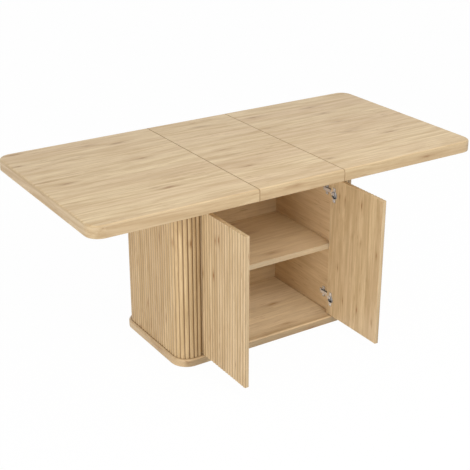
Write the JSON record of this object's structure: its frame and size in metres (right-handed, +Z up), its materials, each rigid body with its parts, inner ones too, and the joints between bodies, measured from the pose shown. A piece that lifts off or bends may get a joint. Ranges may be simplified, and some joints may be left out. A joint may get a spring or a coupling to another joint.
{
  "type": "extending dining table",
  "caption": "Extending dining table in light oak laminate, with a centre leaf on a fluted cabinet pedestal with two doors and a shelf.",
  "frame": {"origin": "centre of the plinth's underside, on the floor under the middle of the extended top", "axes": "X along the table, -Y towards the doors, +Z up"},
  "size_m": [1.7, 0.95, 0.76],
  "materials": {
    "oak_top": "satin",
    "oak_fluted": "satin",
    "oak_plinth": "satin",
    "oak_interior": "satin",
    "core_board": "matte",
    "hinge_metal": "polished",
    "rail_steel": "satin",
    "runner_metal": "satin",
    "pin_steel": "satin"
  },
  "bodies": {
    "pedestal": {"back_rail": "rail_steel", "cabinet_back": "oak_interior", "cabinet_top": "oak_interior", "cap_board": "oak_plinth", "door_apron": "oak_plinth", "fluted_back_panel": "oak_fluted", "front_rail": "rail_steel", "left_fluted_shell": "oak_fluted", "left_lower_former": "core_board", "left_lower_hinge_arm": "hinge_metal", "left_lower_hinge_plate": "hinge_metal", "left_shelf_pins": "pin_steel", "left_side_panel": "oak_interior", "left_upper_former": "core_board", "left_upper_hinge_arm": "hinge_metal", "left_upper_hinge_plate": "hinge_metal", "plinth": "oak_plinth", "right_fluted_shell": "oak_fluted", "right_lower_former": "core_board", "right_lower_hinge_arm": "hinge_metal", "right_lower_hinge_plate": "hinge_metal", "right_shelf_pins": "pin_steel", "right_side_panel": "oak_interior", "right_upper_former": "core_board", "right_upper_hinge_arm": "hinge_metal", "right_upper_hinge_plate": "hinge_metal", "shelf": "oak_interior"},
    "left_top": {"left_back_runner": "runner_metal", "left_back_tongue": "rail_steel", "left_front_runner": "runner_metal", "left_front_tongue": "rail_steel", "top_left": "oak_top"},
    "right_top": {"right_back_runner": "runner_metal", "right_back_tongue": "rail_steel", "right_front_runner": "runner_metal", "right_front_tongue": "rail_steel", "top_right": "oak_top"},
    "leaf": {"leaf": "oak_top", "left_leaf_batten": "core_board", "right_leaf_batten": "core_board"},
    "left_door": {"left_door": "oak_fluted", "left_hinge_cups": "hinge_metal", "left_hinge_pins": "hinge_metal"},
    "right_door": {"right_door": "oak_fluted", "right_hinge_cups": "hinge_metal", "right_hinge_pins": "hinge_metal"}
  },
  "joints": [
    {"name": "left_door_hinge", "type": "hinge", "parent": "pedestal", "child": "left_door", "pos_m": [-0.3075, -0.219, 0.3385], "axis": [0, 0, 1], "range_deg": [-5, 90]},
    {"name": "right_door_hinge", "type": "hinge", "parent": "pedestal", "child": "right_door", "pos_m": [0.3075, -0.219, 0.3385], "axis": [0, 0, 1], "range_deg": [-90, 5]},
    {"name": "left_top_slide", "type": "slide", "parent": "pedestal", "child": "left_top", "axis": [-1, 0, 0], "range_m": [0, 0.02]},
    {"name": "right_top_slide", "type": "slide", "parent": "pedestal", "child": "right_top", "axis": [1, 0, 0], "range_m": [0, 0.02]},
    {"name": "leaf_lift", "type": "slide", "parent": "pedestal", "child": "leaf", "axis": [0, 0, 1], "range_m": [0, 0.1]}
  ]
}
